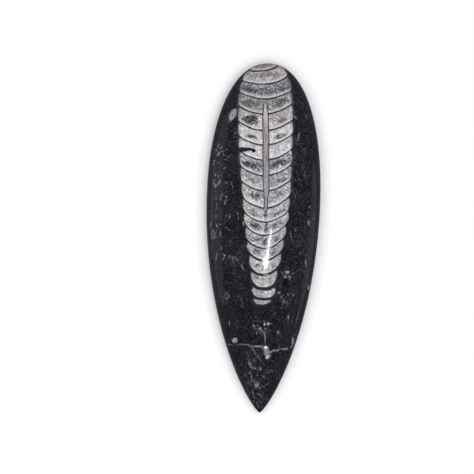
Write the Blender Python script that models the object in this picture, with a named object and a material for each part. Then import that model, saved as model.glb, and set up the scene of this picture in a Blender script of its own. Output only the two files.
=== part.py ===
"""Orthoceras fossil: one piece of black limestone, ground to a long teardrop and polished.

The domed top cuts through a pale chambered shell that lies in the stone, and the underside is
sawn flat so that the piece lies still. Shell and stone are one rock, so they are one solid:
the shell is only a change of colour in a smooth surface.

Frame, in metres: X across, Y along from the tip (-Y) to the blunt end (+Y), Z up, with the
origin on the flat base, in the middle of the piece.
"""

import math

import bmesh
import bpy

# Driving dimensions of the stone.
LENGTH = 0.125
HALF_WIDTH = 0.0203
BLUNT_END_TO_WIDEST = 0.0486
EDGE_HEIGHT = 0.0065  # the widest line, above the base
DOME_RISE = 0.012  # the crest, above the widest line
UNDERSIDE_DEPTH = 0.0115  # how far below the widest line the round underside went before it was sawn
TIP_DROP = 0.35  # share of EDGE_HEIGHT that the widest line loses on its way to the tip
BOW = 0.0006  # how far the middle lies to -X of a line between the two ends
ARRIS = 0.0006  # the eased edge round the base
BLUNT_POWER = 2.2  # the blunt end's outline is a superellipse of this power
TIP_POWER = 0.8  # the tip's outline is (1 - v^2) to this power
RISE_POWER = 0.8  # the thickness follows the width to this power

# The fossil shell, a slender cone along an axis that arches through the stone.
SHELL_TOP_RADIUS = 0.0109  # at the blunt end
SHELL_TAPER = 0.0625  # radius lost per length
SHELL_SIDE = 0.0005  # the axis, to +X of the stone's middle
AXIS_SUMMIT_Y = 0.0245
AXIS_SUMMIT_HEIGHT = 0.0182
AXIS_ARCH_RADIUS = 0.158

# The mesh.
SECTIONS = 58
POINTS_ROUND = 84
ARRIS_SEGMENTS = 2

Y_BLUNT = LENGTH / 2
Y_TIP = -LENGTH / 2
Y_WIDEST = Y_BLUNT - BLUNT_END_TO_WIDEST


def share_to_tip(y):
    """0 at the widest section and towards the blunt end, 1 at the tip."""
    return max(0.0, (Y_WIDEST - y) / (Y_WIDEST - Y_TIP))


def width_share(y):
    """The section's width as a share of the widest one."""
    if y > Y_WIDEST:
        u = min(1.0, (y - Y_WIDEST) / (Y_BLUNT - Y_WIDEST))
        return (1 - u**BLUNT_POWER) ** (1 / BLUNT_POWER)
    v = min(1.0, share_to_tip(y))
    return (1 - v * v) ** TIP_POWER


def edge_height(y):
    """Height of the widest line above the base."""
    return EDGE_HEIGHT * (1 - TIP_DROP * share_to_tip(y) ** 3)


def middle_x(y):
    """The bowed middle line, through X = 0 at the widest section."""
    return BOW * ((y / Y_BLUNT) ** 2 - (Y_WIDEST / Y_BLUNT) ** 2)


def surface_point(y, angle):
    """A point of the section at y. The angle runs from +X over the crest."""
    width = width_share(y)
    reach = DOME_RISE if math.sin(angle) > 0 else UNDERSIDE_DEPTH
    x = middle_x(y) + HALF_WIDTH * width * math.cos(angle)
    z = edge_height(y) + reach * width**RISE_POWER * math.sin(angle)
    return x, y, z


def in_shell(point):
    """True inside the cone of the fossil shell."""
    axis_height = AXIS_SUMMIT_HEIGHT - (point.y - AXIS_SUMMIT_Y) ** 2 / (2 * AXIS_ARCH_RADIUS)
    radius = SHELL_TOP_RADIUS - SHELL_TAPER * (Y_BLUNT - point.y)
    return math.hypot(point.x - SHELL_SIDE, point.z - axis_height) < radius


def plain_material(name, colour, roughness):
    material = bpy.data.materials.new(name)
    material.use_nodes = True
    shader = material.node_tree.nodes["Principled BSDF"]
    shader.inputs["Base Color"].default_value = (*colour, 1.0)
    shader.inputs["Roughness"].default_value = roughness
    shader.inputs["Metallic"].default_value = 0.0
    material.diffuse_color = (*colour, 1.0)
    return material


def ground_blank(mesh):
    """A sphere with its poles at the two ends, pulled to the teardrop's sections."""
    bmesh.ops.create_uvsphere(mesh, u_segments=POINTS_ROUND, v_segments=SECTIONS, radius=1.0)
    for vertex in mesh.verts:
        across, up, along = vertex.co
        vertex.co = surface_point(Y_BLUNT * along, math.atan2(up, across))
    bmesh.ops.recalc_face_normals(mesh, faces=mesh.faces)


def saw_base(mesh):
    """Cuts the round underside off at Z = 0, closes the cut and eases its edge."""
    everything = mesh.verts[:] + mesh.edges[:] + mesh.faces[:]
    cut = bmesh.ops.bisect_plane(
        mesh, geom=everything, plane_co=(0, 0, 0), plane_no=(0, 0, -1), clear_outer=True
    )
    rim = [edge for edge in cut["geom_cut"] if isinstance(edge, bmesh.types.BMEdge)]
    bmesh.ops.contextual_create(mesh, geom=rim)
    bmesh.ops.recalc_face_normals(mesh, faces=mesh.faces)
    bmesh.ops.bevel(mesh, geom=rim, offset=ARRIS, segments=ARRIS_SEGMENTS, profile=0.5, affect="EDGES")


def build_stone(collection):
    mesh = bmesh.new()
    ground_blank(mesh)
    saw_base(mesh)
    for face in mesh.faces:
        face.material_index = 1 if in_shell(face.calc_center_median()) else 0
    data = bpy.data.meshes.new("orthoceras_stone")
    mesh.to_mesh(data)
    mesh.free()
    data.materials.append(plain_material("polished_black_limestone", (0.016, 0.016, 0.018), 0.15))
    data.materials.append(plain_material("pale_calcite", (0.50, 0.47, 0.45), 0.15))
    data.shade_smooth()
    data.set_sharp_from_angle(angle=math.radians(35))
    collection.objects.link(bpy.data.objects.new("orthoceras_stone", data))


def main():
    for thing in list(bpy.data.objects):
        bpy.data.objects.remove(thing)
    collection = bpy.data.collections.new("orthoceras_fossil")
    bpy.context.scene.collection.children.link(collection)
    build_stone(collection)


main()
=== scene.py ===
"""A polished orthoceras stone: black limestone, ground to a teardrop that cuts a fossil shell.

The stone is one mesh, made by a Geometry Nodes tree from the sizes below. Two materials finish
it: polished rock on the dome and flanks, and sawn rock on the base. The shell is a solid pattern
in the rock, a cone with dished walls, so every side of the stone cuts it where it would.

Sizes of the stone are in metres. Patterns are measured in millimetres from the same origin:
x across, y along towards the blunt end, z up from the base.
"""

import math

import bpy
from mathutils import Matrix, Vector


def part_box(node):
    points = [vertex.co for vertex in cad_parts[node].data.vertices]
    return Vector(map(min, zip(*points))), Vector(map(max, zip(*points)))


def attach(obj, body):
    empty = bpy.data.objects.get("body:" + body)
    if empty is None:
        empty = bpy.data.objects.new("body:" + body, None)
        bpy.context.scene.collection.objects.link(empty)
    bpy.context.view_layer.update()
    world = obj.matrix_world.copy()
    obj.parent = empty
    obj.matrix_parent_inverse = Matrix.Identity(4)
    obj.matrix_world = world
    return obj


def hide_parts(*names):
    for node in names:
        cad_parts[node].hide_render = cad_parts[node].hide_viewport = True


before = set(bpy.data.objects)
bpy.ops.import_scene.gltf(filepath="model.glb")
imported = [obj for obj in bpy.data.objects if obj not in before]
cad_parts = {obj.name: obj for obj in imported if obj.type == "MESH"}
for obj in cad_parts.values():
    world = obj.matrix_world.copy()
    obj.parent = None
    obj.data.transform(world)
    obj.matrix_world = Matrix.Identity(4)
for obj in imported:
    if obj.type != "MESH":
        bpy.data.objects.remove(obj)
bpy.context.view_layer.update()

NODE = "orthoceras_stone"
MM = 1000.0  # millimetres in a metre
lowest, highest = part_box(NODE)

# The stone, as it was ground.
LENGTH = highest.y - lowest.y
HALF_WIDTH = (highest.x - lowest.x) / 2
EDGE_HEIGHT = 0.0065
SHAPE = {
    "Length": LENGTH,
    "Half Width": HALF_WIDTH,
    "Blunt End to Widest": 0.0486,
    "Edge Height": EDGE_HEIGHT,
    "Dome Rise": highest.z - EDGE_HEIGHT,
    "Underside Depth": 0.0115,
    "Tip Drop": 0.35,
    "Bow": 0.0006,
    "Blunt Power": 2.2,
    "Tip Power": 0.8,
    "Rise Power": 0.8,
    "Arris": 0.0006,
    "Rows": 420,
    "Points Round": 232,
}
SHARE_OVER = 0.77  # of the points round a section: those over the dome, from edge to edge
SHARE_LOWER = 0.07  # from each edge down to the rim of the base
ROW_CROWDING = 1.7  # above 1, the rows crowd towards the blunt end
STEEPEST_RIM = math.radians(70)  # how far below the widest line the rim may lie, as an angle
SAWN_FACING = -0.98  # faces whose normals point down more than this are the sawn base

# How the polish left it, in millimetres.
WAVE_DEPTH = 0.05
PIT_X = 8.57
PIT_Y = -15.24
PIT_WIDTH = 2.0
PIT_LENGTH = 2.9
PIT_DEPTH = 1.0
CHIP_DEPTH = 0.25  # along the rim of the base

# The shell, in millimetres: a cone round an axis that is level under the blunt end and arches
# down towards the tip.
AXIS_X = 1.14
AXIS_YAW = -0.0333
AXIS_BEND = -0.00335
AXIS_HEIGHT = 18.5
AXIS_LEVEL_TO = 43.3
AXIS_ARCH_RADIUS = 283.0
SHELL_RADIUS = 7.35  # at y = 0
SHELL_TAPER = 0.062
WALL_SAG = 3.6  # how deep the walls are dished
WALL_TILT = 0.55  # how far their right edges are turned towards the blunt end
PINCH = 0.55  # how much the older part draws in, all of it on the right
FIRST_WALL_Y = 63.0

# The tube in the shell, in millimetres.
TUBE_HALF_WIDTH = 0.56
TUBE_SWELLING = 0.42  # how much is added to the half width in the middle of the shell
TUBE_WALL = 0.34  # how far the dark wall fades out, to both sides

# The middle of the arcs that the saw left on the base, in millimetres.
BLADE_X = 120.0
BLADE_Y = 40.0

# Each chamber in turn, from the blunt end: its length in millimetres, how bright its calcite is,
# how warm, and how mottled.
CHAMBERS = (
    (4.6, 0.07, 0.9, 0.4),
    (4.6, 0.64, 0.9, 0.4),
    (5.2, 0.33, 0.1, 1.0),
    (5.2, 0.32, 0.4, 0.9),
    (5.8, 0.62, 0.6, 0.3),
    (5.0, 1.00, 0.4, 0.2),
    (5.2, 1.00, 0.2, 0.3),
    (5.5, 0.90, 0.0, 1.0),
    (5.4, 0.60, 0.0, 0.6),
    (6.0, 1.00, 0.0, 0.7),
    (5.1, 0.74, 0.0, 0.6),
    (4.9, 1.00, 0.0, 0.6),
    (5.0, 0.72, 0.1, 0.5),
    (4.6, 0.73, 0.3, 0.5),
    (5.8, 0.79, 0.5, 0.4),
    (5.3, 0.72, 0.5, 0.4),
    (4.0, 0.68, 0.2, 0.4),
    (2.4, 0.60, 0.2, 0.3),
)
SHELL_LENGTH = sum(chamber[0] for chamber in CHAMBERS)
CHAMBER_LENGTH = SHELL_LENGTH / len(CHAMBERS)

# Dark stains in the calcite: x and y of the middle, half length, half width (millimetres), the
# turn from the x axis (degrees) and the strength.
STAINS = (
    (-0.7, 57.5, 5.55, 0.80, 4, 0.45),
    (-5.8, 52.0, 2.78, 1.04, -8, 0.75),
    (-0.3, 51.7, 2.78, 1.04, 0, 0.45),
    (5.7, 52.8, 2.43, 1.04, 14, 0.65),
    (-6.4, 47.1, 2.78, 1.39, -10, 0.55),
    (5.1, 47.9, 2.78, 1.21, 15, 0.60),
    (-5.6, 41.3, 2.40, 1.50, -8, 1.60),
    (5.2, 41.3, 2.26, 1.04, 12, 0.50),
    (-4.9, 35.5, 1.73, 0.58, -14, 1.10),
    (5.1, 35.9, 2.08, 0.62, 14, 1.00),
    (-5.4, 25.7, 2.43, 0.85, -20, 1.30),
    (-2.3, 24.5, 1.73, 2.08, 0, 0.55),
    (4.8, 26.3, 3.47, 1.05, 15, 1.10),
    (-4.9, 20.5, 1.39, 0.62, -20, 0.55),
    (5.7, 20.4, 2.08, 0.69, 20, 0.60),
    (-3.2, 15.1, 2.78, 1.11, -10, 0.75),
    (4.9, 15.5, 2.95, 1.20, 25, 0.50),
    (-3.8, 8.8, 0.87, 1.39, 0, 0.65),
    (5.3, 9.1, 1.73, 0.52, 30, 0.72),
    (7.1, 9.8, 0.45, 0.38, 0, 1.20),
    (0.7, 8.4, 0.60, 2.00, 0, 0.85),
    (-3.3, 4.7, 2.08, 1.11, -20, 0.94),
    (5.0, 4.9, 2.43, 1.10, 20, 0.72),
    (0.9, 3.8, 0.62, 2.20, 0, 0.95),
    (-2.5, -0.3, 2.43, 0.60, 10, 0.72),
    (4.6, -0.3, 1.04, 0.87, 0, 0.87),
    (0.6, -1.4, 0.70, 1.80, 0, 0.95),
    (-2.2, -4.7, 1.39, 0.90, -20, 0.72),
    (4.2, -4.7, 1.39, 0.90, 20, 0.65),
    (-1.9, -9.3, 0.90, 0.69, 0, 0.72),
    (3.9, -9.4, 0.87, 0.87, 0, 0.72),
    (-2.3, -13.5, 0.87, 0.69, 0, 0.51),
    (3.1, -13.6, 0.87, 0.69, 0, 0.51),
)
# Where black limestone broke into a chamber, in the same order.
BREACHES = (
    (-8.3, 30.8, 1.10, 0.90, 0, 1.00),
    (-7.3, 30.8, 1.30, 0.70, 0, 1.00),
    (-5.7, 31.1, 2.20, 0.50, -6, 1.00),
    (-4.0, 30.5, 0.72, 0.60, -50, 1.00),
)

# Scraps of other shells in the limestone, in the same order. Rings are hollow.
SCRAPS = (
    (-11.7, 43.2, 2.15, 1.08, 66, 0.95),
    (-17.6, 1.0, 1.60, 0.90, 90, 0.18),
    (-12.2, -20.4, 1.30, 0.80, 88, 0.12),
    (-9.0, -36.1, 0.94, 0.88, 0, 1.00),
    (10.4, 42.8, 0.80, 0.25, -60, 0.40),
    (-10.8, 36.6, 0.96, 0.20, 67, 0.35),
    (-10.1, 36.5, 0.96, 0.15, 85, 0.30),
    (-10.9, 35.2, 0.99, 0.15, 5, 0.35),
    (11.5, 36.0, 1.86, 0.25, 77, 0.42),
    (10.4, 35.2, 1.02, 0.17, -49, 0.35),
    (-16.5, 31.7, 1.07, 0.20, 64, 0.35),
    (-16.7, 29.3, 0.95, 0.20, 67, 0.35),
    (-16.4, 18.7, 1.70, 0.18, 53, 0.90),
    (-11.3, 18.5, 1.29, 0.20, -74, 0.40),
    (-17.6, 18.1, 0.68, 0.15, -62, 0.40),
    (-13.3, 13.7, 1.17, 0.20, -84, 0.38),
    (-13.7, 12.2, 0.64, 0.30, -84, 0.45),
    (16.2, 11.4, 0.65, 0.25, -88, 0.40),
    (-8.9, 7.8, 1.58, 0.20, -85, 0.32),
    (15.9, 6.0, 0.94, 0.30, -82, 0.60),
    (-6.9, 5.0, 0.84, 0.40, -78, 0.50),
    (-11.9, 2.8, 0.49, 0.25, -13, 0.40),
    (-15.0, 1.5, 1.26, 0.25, -89, 0.38),
    (9.8, 1.1, 2.10, 0.17, -77, 0.42),
    (-13.6, -5.9, 0.66, 0.20, -16, 0.50),
    (-13.5, -7.1, 1.22, 0.20, 63, 0.50),
    (-16.2, -6.8, 1.69, 0.17, 78, 0.45),
    (-9.9, -6.7, 0.89, 0.17, -33, 0.38),
    (-9.1, -7.3, 1.10, 0.20, -59, 0.38),
    (-10.3, -8.0, 0.84, 0.20, -43, 0.42),
    (15.3, -8.1, 1.19, 0.25, -83, 0.50),
    (-7.0, -9.9, 1.05, 0.25, -76, 0.45),
    (16.7, -16.9, 1.08, 0.35, -85, 0.60),
    (6.0, -18.6, 0.58, 0.40, -67, 0.60),
    (9.3, -19.3, 0.53, 0.35, -44, 0.42),
    (6.9, -20.2, 0.53, 0.30, -67, 0.42),
    (7.9, -21.8, 0.61, 0.35, -47, 0.42),
    (-6.8, -22.3, 2.02, 0.40, -76, 0.18),
    (12.8, -27.6, 2.20, 0.15, 77, 0.38),
    (9.7, -27.5, 1.24, 0.25, -82, 0.38),
    (-11.0, -30.4, 1.07, 0.20, -81, 0.42),
    (-2.4, -30.6, 0.52, 0.30, -40, 0.40),
    (6.3, -32.8, 0.71, 0.45, -55, 0.45),
    (12.7, -34.1, 0.73, 0.20, -62, 0.38),
    (-4.8, -48.6, 0.75, 0.30, -48, 0.32),
    (-2.8, -49.0, 2.36, 0.30, -84, 0.32),
    (3.0, -51.4, 0.68, 0.25, 19, 0.38),
    (1.7, -52.7, 1.76, 0.22, -5, 0.42),
    (-0.2, -55.4, 0.88, 0.30, -59, 0.35),
    (-1.6, -56.1, 2.99, 0.28, -72, 0.42),
    (-0.1, -59.9, 1.97, 0.30, -73, 0.36),
    (-16.4, 32.4, 0.75, 0.18, 60, 0.53),
    (-15.4, 31.6, 0.75, 0.18, 50, 0.48),
    (-17.1, 30.7, 0.85, 0.18, -45, 0.53),
    (-15.1, 30.3, 0.60, 0.18, 15, 0.48),
    (-16.2, 29.4, 0.95, 0.18, 62, 0.70),
    (-14.4, 28.8, 0.60, 0.18, 5, 0.48),
    (-13.5, 30.9, 0.50, 0.18, 40, 0.44),
    (-17.8, 26.9, 0.55, 0.18, 60, 0.70),
    (-18.2, 25.9, 0.42, 0.18, 0, 0.53),
    (-12.8, 28.3, 0.60, 0.18, 20, 0.44),
    (-13.6, 27.4, 0.60, 0.18, -30, 0.44),
    (-16.4, 26.4, 0.45, 0.18, 45, 0.48),
    (-14.2, 24.4, 0.60, 0.18, 30, 0.44),
    (-17.2, 22.0, 0.55, 0.18, 70, 0.53),
    (-16.3, 21.6, 0.65, 0.18, -75, 0.53),
    (-17.8, 20.0, 0.55, 0.18, 50, 0.62),
    (-17.4, 18.8, 0.85, 0.18, -60, 0.66),
    (-13.8, 18.9, 0.50, 0.18, 80, 0.44),
    (-12.9, 19.2, 0.55, 0.18, -50, 0.44),
    (-15.1, 13.6, 0.90, 0.18, 88, 0.40),
    (-16.5, 11.0, 1.20, 0.18, 88, 0.40),
    (-12.0, 7.5, 1.20, 0.18, 88, 0.40),
    (-16.7, 7.5, 0.60, 0.18, 80, 0.44),
    (-18.5, 4.4, 0.70, 0.18, 85, 0.70),
    (-16.3, 4.1, 0.60, 0.18, 88, 0.53),
    (-15.1, 4.5, 0.42, 0.18, 0, 0.48),
    (-13.2, 3.6, 0.55, 0.18, -20, 0.44),
    (-11.3, -1.2, 0.50, 0.18, 70, 0.40),
)
# Where crumbs of shell crowd together in the limestone, in the same order.
CROWDS = (
    (-1.0, -54.0, 7.50, 3.20, -82, 1.00),
    (1.8, -47.0, 3.50, 2.60, 60, 0.60),
    (-2.6, -42.0, 4.00, 2.60, -55, 0.60),
    (0.0, -31.5, 3.40, 3.00, 0, 0.70),
    (9.4, -21.5, 4.40, 2.40, 30, 0.60),
    (9.6, -12.0, 2.60, 2.20, 0, 0.60),
    (-9.4, -7.4, 2.80, 2.40, 0, 0.90),
    (12.6, 24.0, 12.0, 3.20, 84, 0.60),
    (14.5, -3.0, 9.00, 2.20, 85, 0.60),
    (-16.2, 8.0, 15.0, 2.60, 86, 0.80),
)
RINGS = (
    (-17.6, 1.0, 1.70, 0.98, 90, 0.28),
    (-12.2, -20.4, 1.40, 0.88, 88, 0.28),
    (-0.9, -52.0, 1.30, 1.05, 75, 0.45),
)
# Veins of white calcite that healed cracks, in the same order.
VEINS = (
    (-10.7, -37.7, 1.89, 0.19, 3, 0.26),
    (-7.3, -37.5, 2.39, 0.19, 3, 0.32),
    (-3.6, -37.6, 2.23, 0.19, -8, 0.32),
    (-0.3, -37.9, 2.07, 0.21, -5, 0.52),
    (1.6, -39.2, 1.31, 0.32, -44, 0.40),
    (4.2, -39.5, 0.89, 0.22, 26, 0.45),
    (6.1, -39.1, 1.90, 0.18, 8, 0.42),
    (9.3, -38.6, 2.37, 0.18, 10, 0.42),
    (11.6, -37.1, 1.29, 0.18, 78, 0.34),
    (11.6, -35.9, 1.20, 0.38, -83, 0.60),
    (0.6, -32.4, 1.11, 0.20, -37, 0.30),
    (1.6, -34.7, 2.07, 0.18, -86, 0.34),
    (-2.2, -39.4, 1.88, 0.22, -56, 0.20),
    (-0.2, -42.1, 2.38, 0.22, -51, 0.18),
    (-3.5, -44.4, 1.01, 0.24, -65, 0.42),
    (-2.0, -45.6, 1.56, 0.20, -21, 0.36),
    (0.3, -45.8, 0.65, 0.28, -59, 0.32),
)
# Clear crystals, and small white dots that are painted glints, in the same order.
CRYSTALS_AND_GLINTS = (
    (2.6, -40.3, 1.92, 1.05, -65, 0.55),
    (2.6, -41.6, 0.70, 0.50, 20, 0.80),
    (2.2, -38.1, 0.91, 0.34, -8, 1.00),
    (1.4, -29.9, 0.32, 0.32, 0, 0.80),
    (2.5, -29.8, 0.35, 0.45, 0, 0.95),
    (-1.9, -27.3, 0.22, 0.26, 0, 0.38),
    (-2.5, -30.5, 0.22, 0.24, 0, 0.34),
    (-1.9, -31.4, 0.26, 0.24, 0, 0.50),
    (-1.3, -32.9, 0.26, 0.26, 0, 0.50),
    (-0.1, -31.5, 0.62, 0.24, -35, 0.72),
    (1.1, -28.6, 0.24, 0.28, 0, 0.45),
    (3.6, -29.8, 0.24, 0.26, 0, 0.50),
    (1.7, -31.4, 0.26, 0.26, 0, 0.45),
    (9.4, -27.2, 0.26, 0.30, 0, 0.34),
    (8.7, -11.4, 0.85, 0.36, -7, 0.62),
    (9.7, -13.1, 0.43, 0.35, -32, 0.48),
    (8.2, -13.2, 0.62, 0.28, -12, 0.48),
    (7.1, -11.8, 0.63, 0.20, -52, 0.35),
)
MARK_DEPTH = 2.5  # half the depth of every stain, scrap and vein
CROWD_DEPTH = 12.0  # half the depth of a crowd of crumbs

# Colours of the limestone, polished and sawn.
LIMESTONE_GROUND = (0.0016, 0.0016, 0.0032, 1.0)
LIMESTONE_CLOUD = (0.0056, 0.0056, 0.0090, 1.0)
LIMESTONE_CRUMB = (0.168, 0.160, 0.192, 1.0)
SAWN_GROUND = (0.050, 0.050, 0.053, 1.0)
SAWN_CLOUD = (0.075, 0.075, 0.078, 1.0)
SAWN_CRUMB = (0.22, 0.22, 0.22, 1.0)
SAW_MARK = (0.19, 0.19, 0.19, 1.0)
# painted shade: the floor of the pit is painted near black, darker than the rock around it, for
# the shade inside the hole
PIT_SHADE_BLACK = (0.0015, 0.0015, 0.002, 1.0)
HALO_GREY = (0.11, 0.10, 0.105, 1.0)

# Colours of the small fossils, veins and crystals, and of the painted glints.
SCRAP_DULL = (0.07, 0.068, 0.070, 1.0)
SCRAP_PALE = (0.33, 0.325, 0.32, 1.0)
VEIN_WHITE = (0.42, 0.42, 0.43, 1.0)
CRYSTAL_GREY = (0.24, 0.26, 0.285, 1.0)
CRYSTAL_BLUE = (0.52, 0.56, 0.60, 1.0)
# white of the strongest crystals: partly white crystal, partly painted glints
CRYSTAL_WHITE_AND_GLINT = (0.88, 0.89, 0.90, 1.0)

# Colours of the chambers.
PALE_COOL = (0.55, 0.535, 0.58, 1.0)
PALE_WARM = (0.56, 0.505, 0.465, 1.0)
DULL_COOL = (0.105, 0.100, 0.125, 1.0)
DULL_WARM = (0.15, 0.13, 0.115, 1.0)
CLOUD_BLUE = (0.33, 0.335, 0.43, 1.0)
FACET_WHITE = (0.74, 0.73, 0.74, 1.0)
GRIT_WHITE = (0.82, 0.81, 0.83, 1.0)
RIM_WHITE = (0.60, 0.585, 0.575, 1.0)
SPARKLE_WHITE = (0.90, 0.89, 0.88, 1.0)
WEB_BLACK = (0.05, 0.046, 0.055, 1.0)
SEAM_BLACK = (0.06, 0.055, 0.065, 1.0)
STAIN_BLACK = (0.040, 0.036, 0.038, 1.0)
SPECK_BLACK = (0.05, 0.046, 0.05, 1.0)
WALL_BLACK = (0.022, 0.018, 0.018, 1.0)

# Colours of the tube.
FILLING_GREY = (0.27, 0.265, 0.29, 1.0)
FILLING_PALE = (0.46, 0.445, 0.43, 1.0)
FILLING_BROWN = (0.17, 0.145, 0.115, 1.0)
FILLING_WHITE = (0.74, 0.72, 0.73, 1.0)
FILLING_DARK = (0.12, 0.105, 0.10, 1.0)
TUBE_BLACK = (0.030, 0.024, 0.022, 1.0)

# Each lamp: its name, place, size across and along, power, turn in degrees, and whether the
# polish mirrors it.
LAMPS = (
    ("lamp", (0.042, -0.074, 0.45), (0.062, 0.010), 0.11, -33, True),
    ("strip_lamp", (0.062, -0.058, 0.45), (0.098, 0.008), 0.12, 4, True),
    ("overhead_softbox", (0.0, 0.0, 0.9), (1.1, 1.1), 10.5, 0, False),
    ("left_softbox", (-0.8, 0.05, 0.035), (0.72, 0.67), 0.34, 0, True),
    ("right_softbox", (0.8, -0.07, -0.08), (0.46, 0.44), 0.16, 0, True),
)
STUDIO_GREY = (0.150, 0.150, 0.172, 1.0)
FLOOR_WHITE = (0.86, 0.86, 0.86, 1.0)
FLOOR_HALF_SIZE = 1.5

CAMERA_HEIGHT = 0.4345
CAMERA_X = -0.00911
CAMERA_Y = 0.00038
CAMERA_TURN = math.radians(1.44)
SENSOR_WIDTH = 36.0
FOCAL_LENGTH = 91.06


class Field:
    """A number, vector or colour that varies over a surface: one output of a node tree."""

    def __init__(self, tree, socket):
        self.tree = tree
        self.socket = socket

    def __add__(self, other):
        return maths("ADD", self, other)

    def __sub__(self, other):
        return maths("SUBTRACT", self, other)

    def __mul__(self, other):
        return maths("MULTIPLY", self, other)

    def __truediv__(self, other):
        return maths("DIVIDE", self, other)

    def __pow__(self, other):
        return maths("POWER", self, other)

    def __radd__(self, other):
        return maths("ADD", other, self)

    def __rsub__(self, other):
        return maths("SUBTRACT", other, self)

    def __rmul__(self, other):
        return maths("MULTIPLY", other, self)

    def __rtruediv__(self, other):
        return maths("DIVIDE", other, self)

    def __neg__(self):
        return maths("MULTIPLY", self, -1.0)

    def __abs__(self):
        return maths("ABSOLUTE", self)


def feed(socket, value):
    """Links a Field to a socket, or sets a plain value on it."""
    if isinstance(value, Field):
        value.tree.links.new(value.socket, socket)
    else:
        socket.default_value = value


def add_node(tree, kind, inputs=(), **settings):
    """Adds a node. Its inputs are values in order, or a dictionary by name or number."""
    node = tree.nodes.new(kind)
    for name, value in settings.items():
        setattr(node, name, value)
    by_socket = inputs if isinstance(inputs, dict) else dict(enumerate(inputs))
    for socket, value in by_socket.items():
        feed(node.inputs[socket], value)
    return node


def first_output(tree, kind, inputs=(), **settings):
    return Field(tree, add_node(tree, kind, inputs, **settings).outputs[0])


def named_outputs(node):
    return {socket.name: Field(node.id_data, socket) for socket in node.outputs if socket.enabled}


def maths(operation, *values):
    """One Math node. At least one of the values is a Field."""
    tree = next(value.tree for value in values if isinstance(value, Field))
    return first_output(tree, "ShaderNodeMath", values, operation=operation)


def root_of_squares(a, b):
    return maths("SQRT", a * a + b * b)


def step(value, start, end, kind="SMOOTHSTEP"):
    """0 at start, 1 at end, and smooth between. The start may be above the end."""
    inputs = {"Value": value, "From Min": start, "From Max": end}
    return first_output(value.tree, "ShaderNodeMapRange", inputs, interpolation_type=kind)


def share(value, start, end):
    return step(value, start, end, "LINEAR")


def blend(factor, one, other):
    """From one colour to the other as factor goes from 0 to 1."""
    inputs = {0: factor, 6: one, 7: other}  # the Mix node's factor and its two colours
    node = add_node(factor.tree, "ShaderNodeMix", inputs, data_type="RGBA")
    return Field(factor.tree, node.outputs[2])


def parts_of(vector):
    parts = named_outputs(add_node(vector.tree, "ShaderNodeSeparateXYZ", (vector,)))
    return parts["X"], parts["Y"], parts["Z"]


def vector_from(x, y, z):
    tree = next(value.tree for value in (x, y, z) if isinstance(value, Field))
    return first_output(tree, "ShaderNodeCombineXYZ", (x, y, z))


def vector_maths(operation, a, b):
    return first_output(a.tree, "ShaderNodeVectorMath", (a, b), operation=operation)


def scaled(vector, factor):
    inputs = {0: vector, "Scale": factor}
    return first_output(vector.tree, "ShaderNodeVectorMath", inputs, operation="SCALE")


def noise(position, per_mm, detail=2.0, roughness=0.5):
    """Cloudy noise, mostly between 0.3 and 0.7."""
    inputs = {"Vector": position, "Scale": per_mm, "Detail": detail, "Roughness": roughness}
    return first_output(position.tree, "ShaderNodeTexNoise", inputs)


def warped(position, per_mm, amount):
    """The position, pushed up to half of amount each way by noise."""
    node = add_node(position.tree, "ShaderNodeTexNoise", {"Vector": position, "Scale": per_mm})
    push = vector_maths("SUBTRACT", Field(position.tree, node.outputs["Color"]), (0.5, 0.5, 0.5))
    return vector_maths("ADD", position, scaled(push, amount))


def cells(position, per_mm, feature="F1"):
    """Voronoi cells: their Distance and a random Color."""
    inputs = {"Vector": position, "Scale": per_mm}
    return named_outputs(add_node(position.tree, "ShaderNodeTexVoronoi", inputs, feature=feature))


def dome_height(x, y):
    """Height of the polished dome over a point, all in millimetres."""
    half = MM * SHAPE["Length"] / 2
    widest = half - MM * SHAPE["Blunt End to Widest"]
    if y > widest:
        power = SHAPE["Blunt Power"]
        width = (1 - ((y - widest) / (half - widest)) ** power) ** (1 / power)
    else:
        width = (1 - ((widest - y) / (half + widest)) ** 2) ** SHAPE["Tip Power"]
    aside = min(1.0, abs(x) / (MM * SHAPE["Half Width"] * width))
    rise = MM * SHAPE["Dome Rise"] * width ** SHAPE["Rise Power"]
    return MM * SHAPE["Edge Height"] + rise * math.sqrt(1 - aside * aside)


def from_oval(position, mark, depth):
    """0 in the middle of a mark, 1 at its edge and more outside."""
    x, y, half_length, half_width, turn, _ = mark
    middle = (x, y, dome_height(x, y))
    inputs = {"Vector": position, "Center": middle, "Angle": -math.radians(turn)}
    turned = first_output(position.tree, "ShaderNodeVectorRotate", inputs, rotation_type="Z_AXIS")
    offset = vector_maths("SUBTRACT", turned, middle)
    shares = vector_maths("DIVIDE", offset, (half_length, half_width, depth))
    node = add_node(position.tree, "ShaderNodeVectorMath", (shares,), operation="LENGTH")
    return Field(position.tree, node.outputs["Value"])


def marked(position, marks, edge=0.3, hollow=False, depth=MARK_DEPTH):
    """The strongest of many marks at each place, from 0 to the mark's own strength."""
    strongest = None
    for mark in marks:
        away = from_oval(position, mark, depth)
        if hollow:
            away = 3.6 * abs(away - 0.78)  # a ring with its middle at 0.78
        inputs = {"Value": away, "From Min": 1 + edge, "From Max": 1 - edge, "To Max": mark[-1]}
        strength = first_output(position.tree, "ShaderNodeMapRange", inputs)
        strongest = strength if strongest is None else maths("MAXIMUM", strongest, strength)
    return strongest


INPUT_KINDS = {int: "NodeSocketInt", float: "NodeSocketFloat"}
TUPLE_KINDS = {3: "NodeSocketVector", 4: "NodeSocketColor"}
OUTPUT_KINDS = {
    "VALUE": "NodeSocketFloat",
    "VECTOR": "NodeSocketVector",
    "RGBA": "NodeSocketColor",
    "GEOMETRY": "NodeSocketGeometry",
}


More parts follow.
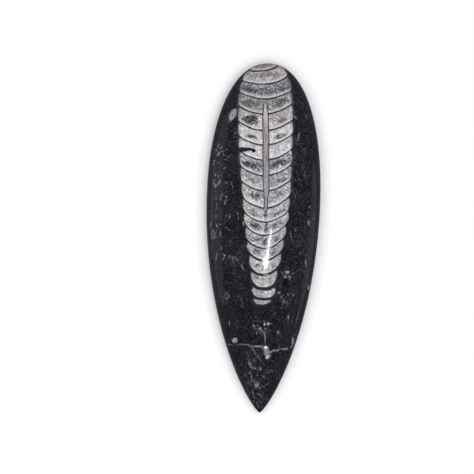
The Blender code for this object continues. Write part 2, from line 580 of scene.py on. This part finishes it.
def new_group(name, inputs, kind="ShaderNodeTree"):
    """A node group, and its named inputs as Fields."""
    tree = bpy.data.node_groups.new(name, kind)
    for label, value in inputs.items():
        socket_type = INPUT_KINDS.get(type(value)) or TUPLE_KINDS[len(value)]
        socket = tree.interface.new_socket(label, in_out="INPUT", socket_type=socket_type)
        socket.default_value = value
    entry = tree.nodes.new("NodeGroupInput")
    return tree, {label: Field(tree, entry.outputs[label]) for label in inputs}


def give(tree, outputs):
    """Names what a group puts out."""
    for label, field in outputs.items():
        socket_type = OUTPUT_KINDS[field.socket.type]
        tree.interface.new_socket(label, in_out="OUTPUT", socket_type=socket_type)
    add_node(tree, "NodeGroupOutput", outputs)
    return tree


def use(tree, group, inputs):
    """Places a group in a tree, and returns its outputs by name."""
    return named_outputs(add_node(tree, "ShaderNodeGroup", inputs, node_tree=group))


# The stone's form.


def ground_surface(given, round_share, along_share):
    """Where each point of the grid lies on the ground stone."""
    half = given["Length"] / 2
    y = half - given["Length"] * along_share**ROW_CROWDING
    widest = half - given["Blunt End to Widest"]
    to_blunt = share(y, widest, half)
    to_tip = share(y, widest, -half)
    blunt_width = (1 - to_blunt ** given["Blunt Power"]) ** (1 / given["Blunt Power"])
    width = blunt_width * (1 - to_tip * to_tip) ** given["Tip Power"]
    rise = width ** given["Rise Power"]
    edge = given["Edge Height"] * (1 - given["Tip Drop"] * to_tip**3)
    bow = given["Bow"] * ((y / half) ** 2 - (widest / half) ** 2)

    rim_sine = edge / maths("MAXIMUM", given["Underside Depth"] * rise, 1e-6)
    rim = maths("ARCSINE", maths("MINIMUM", rim_sine, math.sin(STEEPEST_RIM)))
    left_edge = SHARE_OVER + SHARE_LOWER
    right_rim = 1 - SHARE_LOWER
    angle = math.pi * share(round_share, 0.0, SHARE_OVER)
    angle += rim * share(round_share, SHARE_OVER, left_edge)
    angle += (math.pi - 2 * rim) * share(round_share, left_edge, right_rim)
    angle += rim * share(round_share, right_rim, 1.0)

    sine = maths("SINE", angle)
    up = given["Dome Rise"] * maths("MAXIMUM", sine, 0.0)
    down = given["Underside Depth"] * maths("MINIMUM", sine, 0.0)
    x = bow + given["Half Width"] * width * maths("COSINE", angle)
    z = maths("SMOOTH_MAX", edge + rise * (up + down), 0.0, given["Arris"])
    return vector_from(x, y, z)


def pit_share(position):
    """1 on the floor of the pit that opens in the polish, 0 outside it."""
    x, y, _ = parts_of(warped(position, 0.9, 0.7))
    _, _, height = parts_of(position)
    away = root_of_squares((x - PIT_X) * (2 / PIT_WIDTH), (y - PIT_Y) * (2 / PIT_LENGTH))
    return step(away, 1.15, 0.80) * step(height, 8.0, 9.0)


def worn_depth(position):
    """How far the surface lies below the ground form, in millimetres."""
    _, _, z = parts_of(position)
    waves = WAVE_DEPTH * noise(position, 0.07, detail=1.0)
    pit = PIT_DEPTH * pit_share(position)
    chips = CHIP_DEPTH * step(noise(position, 0.45, detail=3.0), 0.60, 0.70)
    chips *= step(z, 1.6, 0.6) * step(z, 0.02, 0.3)
    return waves * step(z, 2.0, 6.0) + pit + chips


def store_marks(tree, stone, position):
    """Stores at each point of the stone how strong each kind of mark is there."""
    shaken = warped(warped(position, 0.6, 0.5), 2.0, 0.3)
    torn = warped(warped(position, 0.35, 1.0), 1.1, 1.0)
    rings = marked(shaken, RINGS, 0.5, hollow=True)
    kinds = {
        "scraps": maths("MAXIMUM", marked(shaken, SCRAPS), rings),
        "veins": marked(shaken, VEINS, 0.5),
        # crystals, with painted glints among them as small white dots
        "crystals_and_glints": marked(shaken, CRYSTALS_AND_GLINTS),
        "stains": marked(torn, STAINS, 0.45),
        "breaches": marked(shaken, BREACHES, 0.2),
        "crowds": marked(torn, CROWDS, 0.5, depth=CROWD_DEPTH),
        # the pit's mask, which the polished material uses for its painted shade
        "pit_shade": pit_share(position),
    }
    for name, strength in kinds.items():
        inputs = {"Geometry": stone, "Name": name, "Value": strength}
        stone = first_output(tree, "GeometryNodeStoreNamedAttribute", inputs, data_type="FLOAT")
    return stone


def stone_tree(polished, sawn):
    """The Geometry Nodes tree of the stone: a grid, rolled into sections along the length."""
    tree, given = new_group("Ground Stone", SHAPE, "GeometryNodeTree")
    counts = {
        "Size X": 1.0,
        "Size Y": 1.0,
        "Vertices X": given["Points Round"] + 1,
        "Vertices Y": given["Rows"] + 1,
    }
    grid = first_output(tree, "GeometryNodeMeshGrid", counts)
    place = first_output(tree, "GeometryNodeInputPosition")
    round_share, along_share, _ = parts_of(vector_maths("ADD", place, (0.5, 0.5, 0.0)))
    surface = ground_surface(given, round_share, along_share)
    rolled = {"Geometry": grid, "Position": surface}
    stone = first_output(tree, "GeometryNodeSetPosition", rolled)
    closed = {"Geometry": stone, "Distance": 1e-6}
    stone = first_output(tree, "GeometryNodeMergeByDistance", closed)

    stone = store_marks(tree, stone, scaled(place, MM))
    normal = first_output(tree, "GeometryNodeInputNormal")
    inwards = scaled(normal, worn_depth(scaled(place, MM)) * (-1 / MM))
    worn = {"Geometry": stone, "Offset": inwards}
    stone = first_output(tree, "GeometryNodeSetPosition", worn)
    stone = first_output(tree, "GeometryNodeSetShadeSmooth", (stone,))
    stone = first_output(tree, "GeometryNodeRealizeInstances", (stone,))

    _, _, facing = parts_of(normal)
    compared = {"A": facing, "B": SAWN_FACING}
    on_base = first_output(tree, "FunctionNodeCompare", compared, operation="LESS_THAN")
    finish = {"Geometry": stone, "Material": polished}
    stone = first_output(tree, "GeometryNodeSetMaterial", finish)
    finish = {"Geometry": stone, "Selection": on_base, "Material": sawn}
    stone = first_output(tree, "GeometryNodeSetMaterial", finish)
    return give(tree, {"Stone": stone})


def add_object(name, data):
    """An object in the scene, at the origin."""
    thing = bpy.data.objects.new(name, data)
    bpy.context.scene.collection.objects.link(thing)
    return thing


def build_stone(polished, sawn):
    tree = stone_tree(polished, sawn)
    stone = add_object("polished_orthoceras", bpy.data.meshes.new("polished_orthoceras"))
    modifier = stone.modifiers.new("Ground Stone", "NODES")
    modifier.node_group = tree
    for socket in tree.interface.items_tree:
        if socket.in_out == "INPUT":
            modifier[socket.identifier] = SHAPE[socket.name]
    graph = bpy.context.evaluated_depsgraph_get()
    mesh = bpy.data.meshes.new_from_object(stone.evaluated_get(graph))
    stone.modifiers.remove(modifier)
    stone.data = mesh
    return stone


# The rock.


def limestone_group():
    """Black limestone, full of grey crumbs of shell."""
    inputs = {
        "Position": (0.0, 0.0, 0.0),
        "Crowding": 0.0,
        "Ground Colour": LIMESTONE_GROUND,
        "Cloud Colour": LIMESTONE_CLOUD,
        "Crumb Colour": LIMESTONE_CRUMB,
    }
    tree, given = new_group("Black Limestone", inputs)
    position = given["Position"]
    clouds = step(noise(position, 0.16, detail=3.0), 0.38, 0.62)
    colour = blend(clouds, given["Ground Colour"], given["Cloud Colour"])

    grain = step(noise(position, 1.3, detail=5.0, roughness=0.8), 0.47, 0.72)
    colour = blend(grain * 0.28, colour, given["Crumb Colour"])

    shaken = warped(position, 0.9, 1.3)
    sand = cells(shaken, 1.5)
    luck, size, _ = parts_of(sand["Color"])
    sand_grains = step(sand["Distance"], 0.30 + 0.16 * size, 0.08) * step(luck, 0.35, 1.0)
    crumb = cells(shaken, 0.62)
    luck, size, hollow = parts_of(crumb["Color"])
    crumb_size = 0.14 + 0.16 * size
    away = abs(crumb["Distance"] - crumb_size * 0.75 * step(hollow, 0.55, 0.60))
    crumbs = step(away, crumb_size * 0.6, 0.03) * step(luck, 0.50, 1.0)
    thread = step(abs(noise(shaken, 0.75, detail=2.0) - 0.5), 0.030, 0.008)
    thread *= step(noise(position, 0.45), 0.46, 0.56) * given["Crowding"]
    density = 0.50 + 0.45 * clouds + 0.90 * given["Crowding"]
    crumbs = maths("MAXIMUM", sand_grains * 0.32, crumbs * 0.55) * density
    crumbs = maths("MINIMUM", maths("MAXIMUM", crumbs, thread * 0.80), 1.0)
    colour = blend(crumbs, colour, given["Crumb Colour"])
    height = grain * 0.3 + crumbs
    return give(tree, {"Color": colour, "Crumbs": crumbs, "Height": height})


def small_fossils_group():
    """Scraps of other shells, crystals and veins in the limestone, with painted glints among the
    crystals.
    """
    inputs = {"Position": (0.0, 0.0, 0.0), "Scraps": 0.0, "Veins": 0.0, "Crystals_And_Glints": 0.0}
    tree, given = new_group("Small Fossils", inputs)
    position = given["Position"]
    whole = step(noise(position, 2.0, detail=3.0), 0.36, 0.58)
    scraps = maths("MINIMUM", given["Scraps"] * (0.5 + 1.1 * whole), 1.0)
    veins = given["Veins"] * (0.5 + 0.8 * whole)
    colour = blend(scraps, SCRAP_DULL, SCRAP_PALE)
    colour = blend(step(veins, 0.0, 0.1), colour, VEIN_WHITE)

    glint, blue, _ = parts_of(cells(position, 1.5)["Color"])
    crystals_and_glints = given["Crystals_And_Glints"] * (0.6 + 0.4 * glint)
    clear = blend(blue, CRYSTAL_GREY, CRYSTAL_BLUE)
    # the strongest crystals turn white: partly white crystal, partly painted glints
    clear = blend(step(crystals_and_glints, 0.55, 0.85), clear, CRYSTAL_WHITE_AND_GLINT)
    colour = blend(step(crystals_and_glints, 0.0, 0.1), colour, clear)
    cover = maths("MAXIMUM", maths("MAXIMUM", scraps, veins), crystals_and_glints)
    return give(tree, {"Color": colour, "Cover": maths("MINIMUM", cover * 1.3, 1.0)})


def chamber_looks(number):
    """Brightness, warmth and mottling of the chamber with this number."""
    node = number.tree.nodes.new("ShaderNodeValToRGB")
    node.color_ramp.interpolation = "CONSTANT"
    stops = node.color_ramp.elements
    stops.remove(stops[1])
    for number_here, (_, *looks) in enumerate(CHAMBERS):
        start = number_here / len(CHAMBERS)
        stop = stops.new(start) if number_here else stops[0]
        stop.color = (*looks, 1.0)
    feed(node.inputs[0], (number + 0.5) / len(CHAMBERS))
    return parts_of(Field(number.tree, node.outputs[0]))


def chamber_count(depth):
    """How many chambers lie between the first wall and this depth, as a decimal number."""
    node = depth.tree.nodes.new("ShaderNodeFloatCurve")
    curve = node.mapping.curves[0]
    reached = 0.0
    for passed, chamber in enumerate(CHAMBERS[:-1], 1):
        reached += chamber[0]
        curve.points.new(reached / SHELL_LENGTH, passed / len(CHAMBERS))
    for point in curve.points:
        point.handle_type = "VECTOR"
    node.mapping.update()
    feed(node.inputs["Value"], depth / SHELL_LENGTH)
    return Field(depth.tree, node.outputs[0]) * len(CHAMBERS)


def shell_axis(y):
    """Where the shell's axis runs at this y, as x and z, and the shell's radius there."""
    to_tip = maths("MAXIMUM", -y, 0.0)
    lean = PINCH * step(y, 12.0, -4.0) * step(y, -20.0, -11.0)
    axis_x = AXIS_X + AXIS_YAW * y + AXIS_BEND * to_tip * to_tip - lean
    arched = maths("MAXIMUM", AXIS_LEVEL_TO - y, 0.0)
    axis_z = AXIS_HEIGHT - arched * arched / (2 * AXIS_ARCH_RADIUS)
    radius = SHELL_RADIUS + SHELL_TAPER * y - lean
    return axis_x, axis_z, radius


def shell_depth(y, side, reach):
    """How far a place lies behind the first wall, counted square to the dished, tilted walls."""
    flatter = 1.1 * step(y, 46.0, 60.0)
    deeper = 0.7 * step(y, 25.0, 5.0)
    shallow = 0.9 * step(y, -10.0, -24.0)
    sag = WALL_SAG - flatter + deeper - shallow
    tilt = WALL_TILT + 1.6 * step(y, 52.0, 60.0) - 0.8 * step(y, -8.0, -22.0)
    return FIRST_WALL_Y - (y - sag * reach * reach - tilt * side)


def calcite(place, layers, middle, looks, grit):
    """Calcite in layers, clouds and a mosaic of crystals. Returns its dull shade too."""
    brightness, warmth, mottling = looks
    pale = blend(warmth, PALE_COOL, PALE_WARM)
    dull = blend(warmth, DULL_COOL, DULL_WARM)
    colour = blend(brightness, dull, pale)
    blue = step(noise(place, 0.3), 0.42, 0.62) * (1 - warmth) * 0.25
    colour = blend(blue, colour, CLOUD_BLUE)

    layered = noise(layers, 1.0, detail=3.0, roughness=0.6)
    clouded = noise(place, 0.6, detail=5.0, roughness=0.65)
    facet, _, _ = parts_of(cells(warped(place, 2.0, 0.4), 1.35)["Color"])
    shade = step(0.45 * layered + 0.55 * clouded, 0.42, 0.60)
    colour = blend(shade * middle * (0.12 + 0.55 * mottling), colour, dull)
    colour = blend(step(facet, 0.45, 0.0) * (0.20 + 0.40 * mottling), colour, dull)
    white = step(facet, 0.50, 1.0) * (0.35 + 0.45 * brightness)
    colour = blend(white, colour, FACET_WHITE)
    colour = blend(step(grit, 0.50, 0.34) * (0.32 + 0.40 * mottling), colour, dull)
    white = step(grit, 0.53, 0.68) * (0.30 + 0.40 * brightness)
    return blend(white, colour, GRIT_WHITE), dull


def veined(colour, place, middle, mottling):
    """A web of dark threads, and seams between crystals."""
    threads = noise(warped(place, 1.0, 0.8), 0.8, detail=4.0, roughness=0.6)
    web = step(abs(threads - 0.5), 0.042, 0.0)
    colour = blend(web * (0.05 + 0.68 * mottling), colour, WEB_BLACK)
    seam = cells(warped(place, 1.2, 0.8), 0.75, "DISTANCE_TO_EDGE")["Distance"]
    seams = step(seam, 0.10, 0.02) * step(noise(place, 0.5), 0.46, 0.58) * middle
    return blend(seams * (0.10 + 0.70 * mottling), colour, SEAM_BLACK)


def stained(colour, place, stains, middle, mottling):
    """Ragged stains where they are placed, and dark specks all over."""
    ragged = step(noise(place, 1.3, detail=4.0, roughness=0.7), 0.60, 0.42)
    colour = blend(maths("MINIMUM", stains * (0.45 + ragged), 1.0), colour, STAIN_BLACK)
    specks = step(noise(place, 1.9), 0.58, 0.66) * (0.20 + 0.80 * mottling) * middle
    return blend(specks * 0.8, colour, SPECK_BLACK)


def edged(colour, dull, below_upper, above_lower, inside):
    """A white rim on each lower wall, and dull calcite under the upper wall and at the sides."""
    rim = step(above_lower, 1.5, 0.5) * step(inside, 0.0, 0.5)
    colour = blend(rim * 0.55, colour, RIM_WHITE)
    colour = blend(step(below_upper, 1.3, 0.3) * 0.30, colour, dull)
    return blend(step(inside, 1.2, 0.0) * 0.35, colour, dull)


def sparkling(colour, place):
    """Single bright grains."""
    grains = cells(warped(place, 3.0, 0.3), 1.7)
    luck, _, _ = parts_of(grains["Color"])
    sparkle = step(grains["Distance"], 0.52, 0.22) * step(luck, 0.85, 0.94)
    sparkle *= step(noise(place, 0.25), 0.36, 0.56)
    return blend(sparkle, colour, SPARKLE_WHITE)


def tube_filling(x, y, z, grit):
    """Pale calcite with brown streaks, greyer in the older part."""
    streaks = step(noise(vector_from(x * 4.0, y * 0.30, z), 1.0, detail=4.0), 0.64, 0.42)
    brown = 0.22 + 0.70 * step(y, 43.0, 38.0) * step(y, 23.0, 30.0)
    filling = blend(step(y, 27.0, 32.0), FILLING_GREY, FILLING_PALE)
    filling = blend(streaks * brown, filling, FILLING_BROWN)
    filling = blend(step(grit, 0.50, 0.66) * 0.35, filling, FILLING_WHITE)
    return blend(step(grit, 0.50, 0.38) * 0.50, filling, FILLING_DARK)


def shell_group():
    """The fossil shell: calcite in chambers between dark, dished walls, and the tube in them."""
    inputs = {"Position": (0.0, 0.0, 0.0), "Stains": 0.0, "Breaches": 0.0}
    tree, given = new_group("Chambered Shell", inputs)
    place = given["Position"]
    x, y, z = parts_of(warped(warped(place, 0.22, 0.6), 1.3, 0.24))
    axis_x, axis_z, radius = shell_axis(y)
    out = root_of_squares(x - axis_x, z - axis_z)
    reach = out / radius
    side = (x - axis_x) / radius

    # The chambers and what they hold.
    depth = shell_depth(y, side, reach)
    count = chamber_count(depth)
    number = maths("FLOOR", count)
    fraction = maths("FRACT", count)
    below_upper = fraction * CHAMBER_LENGTH
    above_lower = (1 - fraction) * CHAMBER_LENGTH
    half_wall = 0.26 + 0.22 * step(y, 10.0, -20.0)
    corner = 1.2 + 1.2 * step(y, 36.0, 10.0) + 1.7 * step(y, 10.0, -20.0)
    barrel = 0.30 * fraction + 1.2 * fraction * (1 - fraction) - 0.33
    inside = radius + barrel - out
    cup = maths("SMOOTH_MIN", above_lower - half_wall, inside, corner)
    fill = step(maths("MINIMUM", below_upper - half_wall, cup), -0.10, 0.10)
    present = step(depth, SHELL_LENGTH, SHELL_LENGTH - 0.1)

    # Their calcite.
    brightness, warmth, mottling = chamber_looks(number)
    warmth += 0.50 * step(side, 0.1, -0.4) * step(y, 26.0, 22.0) * step(y, 2.0, 8.0)
    middle = step(fraction, 0.03, 0.25) * step(fraction, 0.95, 0.70)
    grit = noise(place, 2.4, detail=3.0, roughness=0.7)
    layers = vector_from(side * 2.4, depth * 1.5, reach * 2.0)
    looks = (brightness, warmth, mottling)
    colour, dull = calcite(place, layers, middle, looks, grit)
    colour = veined(colour, place, middle, mottling)
    colour = stained(colour, place, given["Stains"], middle, mottling)
    colour = edged(colour, dull, below_upper, above_lower, inside)
    colour = sparkling(colour, place)

    # The tube, wide in the middle of the shell.
    swelling = TUBE_SWELLING * step(y, 47.0, 42.0) * step(y, 13.5, 17.5)
    from_middle = x - axis_x - 0.05 + 0.35 * step(y, 15.0, 10.0)
    in_tube = TUBE_HALF_WIDTH + swelling - abs(from_middle)
    tube_span = step(y, 47.4, 46.8) * step(y, 9.6, 11.0)
    tube = step(in_tube, -0.08, 0.08) * tube_span
    tube_wall = step(abs(in_tube), TUBE_WALL, 0.10) * tube_span
    colour = blend(tube, colour, tube_filling(x, y, z, grit))
    colour = blend(tube_wall * 0.85, colour, TUBE_BLACK)

    solid = step(inside, -0.35, -0.15) * present
    whole = solid * (1 - step(given["Breaches"], 0.4, 0.6))
    cover = whole * maths("MAXIMUM", fill, tube)
    walls = whole * (1 - fill) * (1 - tube)
    halo = present * (1 - solid) * step(inside, -1.1, -0.15) * step(y, 14.0, 26.0)
    return give(tree, {"Color": colour, "Cover": cover, "Walls": walls, "Halo": halo})


def stored(tree, name):
    """A value that the stone's points carry."""
    node = add_node(tree, "ShaderNodeAttribute", attribute_name=name)
    return Field(tree, node.outputs["Fac"])


def new_material(name):
    """A material, and the position on the object in millimetres."""
    material = bpy.data.materials.new(name)
    material.use_nodes = True
    tree = material.node_tree
    coordinates = tree.nodes.new("ShaderNodeTexCoord")
    return material, scaled(Field(tree, coordinates.outputs["Object"]), MM)


def set_finish(material, colour, roughness, height, relief):
    """Gives a material its colour and roughness, and the relief of its surface."""
    inputs = material.node_tree.nodes["Principled BSDF"].inputs
    feed(inputs["Base Color"], colour)
    feed(inputs["Roughness"], roughness)
    bump = {"Strength": relief, "Distance": 0.1 / MM, "Height": height}
    feed(inputs["Normal"], first_output(material.node_tree, "ShaderNodeBump", bump))
    return material


def polished_material(limestone, small_fossils, shell):
    material, position = new_material("polished_limestone")
    tree = material.node_tree
    rock = use(tree, limestone, {"Position": position, "Crowding": stored(tree, "crowds")})
    marks = {name: stored(tree, name.lower()) for name in ("Scraps", "Veins", "Crystals_And_Glints")}
    scrap = use(tree, small_fossils, {"Position": position, **marks})
    marks = {name: stored(tree, name.lower()) for name in ("Stains", "Breaches")}
    fossil = use(tree, shell, {"Position": position, **marks})

    colour = blend(scrap["Cover"], rock["Color"], scrap["Color"])
    colour = blend(fossil["Halo"] * 0.30, colour, HALO_GREY)
    colour = blend(fossil["Walls"] * 0.9, colour, WALL_BLACK)
    colour = blend(fossil["Cover"], colour, fossil["Color"])
    # painted shade: the pit's floor painted near black, for the shade inside the hole
    colour = blend(stored(tree, "pit_shade"), colour, PIT_SHADE_BLACK)
    outside = 1 - fossil["Cover"]
    smears = 0.07 * noise(position, 0.35, detail=4.0)
    roughness = 0.045 + smears + 0.10 * rock["Crumbs"] * outside
    height = 0.20 * noise(position, 2.5, detail=3.0) + rock["Height"] * outside
    return set_finish(material, colour, roughness, height, relief=0.10)


def sawn_material(limestone):
    material, position = new_material("sawn_limestone")
    colours = {
        "Position": position,
        "Ground Colour": SAWN_GROUND,
        "Cloud Colour": SAWN_CLOUD,
        "Crumb Colour": SAWN_CRUMB,
    }
    rock = use(material.node_tree, limestone, colours)
    x, y, _ = parts_of(position)
    from_blade = root_of_squares(x - BLADE_X, y - BLADE_Y)
    arcs = noise(vector_from(from_blade * 1.4, 0.0, 0.0), 1.0, detail=4.0, roughness=0.7)
    colour = blend(step(arcs, 0.50, 0.66) * 0.55, rock["Color"], SAW_MARK)
    roughness = 0.55 + 0.25 * noise(position, 0.9, detail=3.0)
    height = arcs + 0.4 * noise(position, 2.5, detail=3.0)
    return set_finish(material, colour, roughness, height, relief=0.9)


# The studio.


def build_floor():
    mesh = bpy.data.meshes.new("floor")
    side = FLOOR_HALF_SIZE
    corners = [(-side, -side, 0), (side, -side, 0), (side, side, 0), (-side, side, 0)]
    mesh.from_pydata(corners, [], [(0, 1, 2, 3)])
    floor = add_object("floor", mesh)
    material = bpy.data.materials.new("pale_floor")
    material.use_nodes = True
    shader = material.node_tree.nodes["Principled BSDF"]
    shader.inputs["Base Color"].default_value = FLOOR_WHITE
    shader.inputs["Roughness"].default_value = 0.9
    mesh.materials.append(material)
    floor.visible_glossy = False


def build_lights():
    world = bpy.data.worlds.new("studio")
    world.use_nodes = True
    world.node_tree.nodes["Background"].inputs["Color"].default_value = STUDIO_GREY
    bpy.context.scene.world = world
    for name, place, size, power, turn, mirrored in LAMPS:
        light = bpy.data.lights.new(name, "AREA")
        light.shape = "ELLIPSE"
        light.size, light.size_y = size
        light.energy = power
        lamp = add_object(name, light)
        lamp.location = place
        facing = (-lamp.location).to_track_quat("-Z", "Y").to_matrix()
        lamp.rotation_euler = (facing @ Matrix.Rotation(math.radians(turn), 3, "Z")).to_euler()
        lamp.visible_glossy = mirrored


def build_camera():
    camera = bpy.data.cameras.new("camera")
    camera.sensor_width = SENSOR_WIDTH
    camera.lens = FOCAL_LENGTH
    eye = add_object("camera", camera)
    eye.location = (CAMERA_X, CAMERA_Y, CAMERA_HEIGHT)
    eye.rotation_euler = (0.0, 0.0, CAMERA_TURN)
    bpy.context.scene.camera = eye


def main():
    build_camera()
    build_lights()
    build_floor()
    limestone = limestone_group()
    polished = polished_material(limestone, small_fossils_group(), shell_group())
    stone = build_stone(polished, sawn_material(limestone))
    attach(stone, "root")
    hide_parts(NODE)
    bpy.context.scene.view_settings.view_transform = "Standard"


main()
